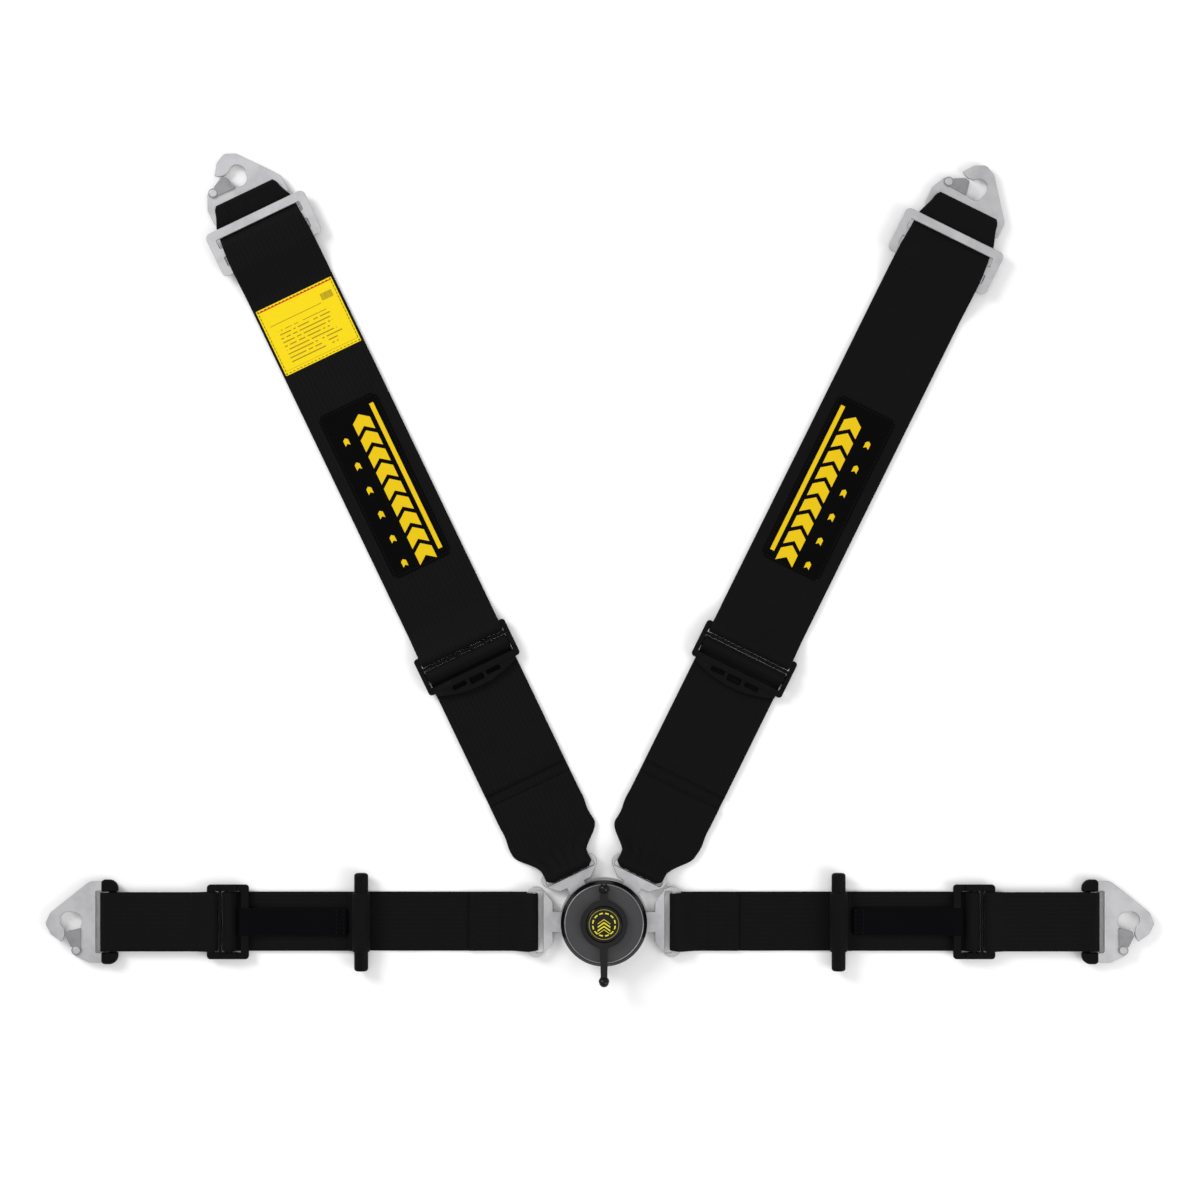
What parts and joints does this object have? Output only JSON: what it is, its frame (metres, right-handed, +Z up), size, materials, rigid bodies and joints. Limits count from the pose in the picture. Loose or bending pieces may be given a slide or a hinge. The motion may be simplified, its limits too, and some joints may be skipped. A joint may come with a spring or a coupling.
{
  "type": "racing harness",
  "caption": "Cam-lock racing harness laid flat: rotary buckle, wide shoulder belts, lap belts with pull-bar adjusters and snap-hook ends.",
  "frame": {"origin": "centre of the buckle's flat back face, on the surface the harness lies on", "axes": "+Z up out of the buckle's face, +X to the right along the lap belts, +Y towards the shoulder hooks"},
  "size_m": [0.95, 0.7126, 0.0309],
  "materials": {
    "zinc_steel": "zinc-plated pressed steel, satin",
    "gate_steel": "zinc-plated pressed steel, darker",
    "inner_steel": "machined steel",
    "buckle_alloy": "die-cast alloy",
    "buckle_black": "gloss black paint",
    "face_grey": "satin dark grey",
    "lever_black": "gloss black",
    "cap_black": "gloss black with a yellow ring",
    "webbing": "black woven polyester webbing",
    "tab_webbing": "narrow black webbing",
    "patch_black": "black printed patch with yellow bars",
    "label_yellow": "yellow woven label",
    "adjuster_black": "black powder coat",
    "rod_black": "black"
  },
  "bodies": {
    "buckle": {"buckle_back_plate": "zinc_steel", "buckle_guide_block": "buckle_alloy", "buckle_housing": "buckle_black", "buckle_face": "face_grey", "base_screws": "inner_steel", "fixed_tongue_pin": "inner_steel", "carrier_spring": "inner_steel", "lap_left_tongue": "zinc_steel", "lap_right_tongue": "zinc_steel", "shoulder_left_tongue": "zinc_steel", "shoulder_right_tongue": "zinc_steel"},
    "lever": {"release_lever": "lever_black", "lever_cap": "cap_black", "spindle": "inner_steel", "spindle_circlip": "inner_steel", "release_cam": "inner_steel"},
    "carrier": {"pin_carrier": "inner_steel", "latch_pins": "inner_steel"},
    "lap_left_belt_run": {"lap_left_belt": "webbing", "lap_left_pull_bar": "rod_black"},
    "lap_left_adjuster_body": {"lap_left_adjuster": "adjuster_black", "lap_left_locking_bar": "adjuster_black", "lap_left_release_tab": "tab_webbing"},
    "lap_left_anchor_run": {"lap_left_anchor_strap": "webbing"},
    "lap_left_hook_body": {"lap_left_hook": "zinc_steel", "lap_left_gate_rivet": "zinc_steel", "lap_left_hook_end_caps": "adjuster_black"},
    "lap_left_gate_body": {"lap_left_gate": "gate_steel"},
    "lap_right_belt_run": {"lap_right_belt": "webbing", "lap_right_pull_bar": "rod_black"},
    "lap_right_adjuster_body": {"lap_right_adjuster": "adjuster_black", "lap_right_locking_bar": "adjuster_black", "lap_right_release_tab": "tab_webbing"},
    "lap_right_anchor_run": {"lap_right_anchor_strap": "webbing"},
    "lap_right_hook_body": {"lap_right_hook": "zinc_steel", "lap_right_gate_rivet": "zinc_steel", "lap_right_hook_end_caps": "adjuster_black"},
    "lap_right_gate_body": {"lap_right_gate": "gate_steel"},
    "shoulder_left_belt_run": {"shoulder_left_belt": "webbing"},
    "shoulder_left_adjuster_body": {"shoulder_left_adjuster": "adjuster_black", "shoulder_left_locking_bar": "adjuster_black"},
    "shoulder_left_upper_run": {"shoulder_left_upper_strap": "webbing", "shoulder_left_slide": "zinc_steel", "shoulder_left_patch": "patch_black", "shoulder_left_label": "label_yellow"},
    "shoulder_left_hook_body": {"shoulder_left_hook": "zinc_steel", "shoulder_left_gate_rivet": "zinc_steel"},
    "shoulder_left_gate_body": {"shoulder_left_gate": "gate_steel"},
    "shoulder_right_belt_run": {"shoulder_right_belt": "webbing"},
    "shoulder_right_adjuster_body": {"shoulder_right_adjuster": "adjuster_black", "shoulder_right_locking_bar": "adjuster_black"},
    "shoulder_right_upper_run": {"shoulder_right_upper_strap": "webbing", "shoulder_right_slide": "zinc_steel", "shoulder_right_patch": "patch_black"},
    "shoulder_right_hook_body": {"shoulder_right_hook": "zinc_steel", "shoulder_right_gate_rivet": "zinc_steel"},
    "shoulder_right_gate_body": {"shoulder_right_gate": "gate_steel"}
  },
  "joints": [
    {"name": "lever_turn", "type": "hinge", "parent": "buckle", "child": "lever", "pos_m": [0, 0, 0.0224], "axis": [0, 0, 1], "range_deg": [0, 60]},
    {"name": "pin_lift", "type": "slide", "parent": "buckle", "child": "carrier", "axis": [0, 0, 1], "range_m": [0, 0.0055], "deforming": ["carrier_spring"]},
    {"name": "lap_left_belt_swing", "type": "hinge", "parent": "buckle", "child": "lap_left_belt_run", "pos_m": [-0.0624, 0, 0.0065], "axis": [0, 1, 0], "range_deg": [-30, 60]},
    {"name": "lap_left_adjuster_tilt", "type": "hinge", "parent": "lap_left_belt_run", "child": "lap_left_adjuster_body", "pos_m": [-0.322, 0, 0.00557], "axis": [0, -1, 0], "range_deg": [0, 30]},
    {"name": "lap_left_strap_swing", "type": "hinge", "parent": "lap_left_adjuster_body", "child": "lap_left_anchor_run", "pos_m": [-0.337, 0, 0.0065], "axis": [0, 1, 0], "range_deg": [-25, 25]},
    {"name": "lap_left_hook_swing", "type": "hinge", "parent": "lap_left_anchor_run", "child": "lap_left_hook_body", "pos_m": [-0.4273, 0, 0.0065], "axis": [0, 1, 0], "range_deg": [-75, 75]},
    {"name": "lap_left_gate_open", "type": "hinge", "parent": "lap_left_hook_body", "child": "lap_left_gate_body", "pos_m": [-0.4521, -0.0242, 0.0065], "axis": [0, 0, -1], "range_deg": [0, 25], "stiffness_Nm_per_rad": 0.03, "springref_deg": -17.19},
    {"name": "lap_right_belt_swing", "type": "hinge", "parent": "buckle", "child": "lap_right_belt_run", "pos_m": [0.0624, 0, 0.0065], "axis": [0, -1, 0], "range_deg": [-30, 60]},
    {"name": "lap_right_adjuster_tilt", "type": "hinge", "parent": "lap_right_belt_run", "child": "lap_right_adjuster_body", "pos_m": [0.317, 0, 0.00557], "axis": [0, 1, 0], "range_deg": [0, 30]},
    {"name": "lap_right_strap_swing", "type": "hinge", "parent": "lap_right_adjuster_body", "child": "lap_right_anchor_run", "pos_m": [0.332, 0, 0.0065], "axis": [0, -1, 0], "range_deg": [-25, 25]},
    {"name": "lap_right_hook_swing", "type": "hinge", "parent": "lap_right_anchor_run", "child": "lap_right_hook_body", "pos_m": [0.4203, 0, 0.0065], "axis": [0, -1, 0], "range_deg": [-75, 75]},
    {"name": "lap_right_gate_open", "type": "hinge", "parent": "lap_right_hook_body", "child": "lap_right_gate_body", "pos_m": [0.4451, -0.0242, 0.0065], "axis": [0, 0, 1], "range_deg": [0, 25], "stiffness_Nm_per_rad": 0.03, "springref_deg": -17.19},
    {"name": "shoulder_left_belt_swing", "type": "hinge", "parent": "buckle", "child": "shoulder_left_belt_run", "pos_m": [-0.03152, 0.04727, 0.0065], "axis": [0.9018, 0.4321, 0], "range_deg": [-30, 60]},
    {"name": "shoulder_left_adjuster_tilt", "type": "hinge", "parent": "shoulder_left_belt_run", "child": "shoulder_left_adjuster_body", "pos_m": [-0.11696, 0.22561, 0.006], "axis": [-0.9018, -0.4321, 0], "range_deg": [0, 30]},
    {"name": "shoulder_left_strap_swing", "type": "hinge", "parent": "shoulder_left_adjuster_body", "child": "shoulder_left_upper_run", "pos_m": [-0.12345, 0.23914, 0.0065], "axis": [0.9018, 0.4321, 0], "range_deg": [-25, 25]},
    {"name": "shoulder_left_hook_swing", "type": "hinge", "parent": "shoulder_left_upper_run", "child": "shoulder_left_hook_body", "pos_m": [-0.30246, 0.61277, 0.005], "axis": [0.9018, 0.4321, 0], "range_deg": [-75, 75]},
    {"name": "shoulder_left_gate_open", "type": "hinge", "parent": "shoulder_left_hook_body", "child": "shoulder_left_gate_body", "pos_m": [-0.335, 0.62467, 0.005], "axis": [0, 0, -1], "range_deg": [0, 25], "stiffness_Nm_per_rad": 0.03, "springref_deg": -17.19},
    {"name": "shoulder_right_belt_swing", "type": "hinge", "parent": "buckle", "child": "shoulder_right_belt_run", "pos_m": [0.03209, 0.04688, 0.0065], "axis": [0.8965, -0.4431, 0], "range_deg": [-30, 60]},
    {"name": "shoulder_right_adjuster_tilt", "type": "hinge", "parent": "shoulder_right_belt_run", "child": "shoulder_right_adjuster_body", "pos_m": [0.11971, 0.22416, 0.006], "axis": [-0.8965, 0.4431, 0], "range_deg": [0, 30]},
    {"name": "shoulder_right_strap_swing", "type": "hinge", "parent": "shoulder_right_adjuster_body", "child": "shoulder_right_upper_run", "pos_m": [0.12636, 0.23761, 0.0065], "axis": [0.8965, -0.4431, 0], "range_deg": [-25, 25]},
    {"name": "shoulder_right_hook_swing", "type": "hinge", "parent": "shoulder_right_upper_run", "child": "shoulder_right_hook_body", "pos_m": [0.30638, 0.60185, 0.005], "axis": [0.8965, -0.4431, 0], "range_deg": [-75, 75]},
    {"name": "shoulder_right_gate_open", "type": "hinge", "parent": "shoulder_right_hook_body", "child": "shoulder_right_gate_body", "pos_m": [0.29567, 0.63481, 0.005], "axis": [0, 0, -1], "range_deg": [0, 25], "stiffness_Nm_per_rad": 0.03, "springref_deg": -17.19}
  ],
  "couplings": [
    {"joint": "pin_lift", "follows": "lever_turn", "m_per_rad": 0.0052521}
  ]
}
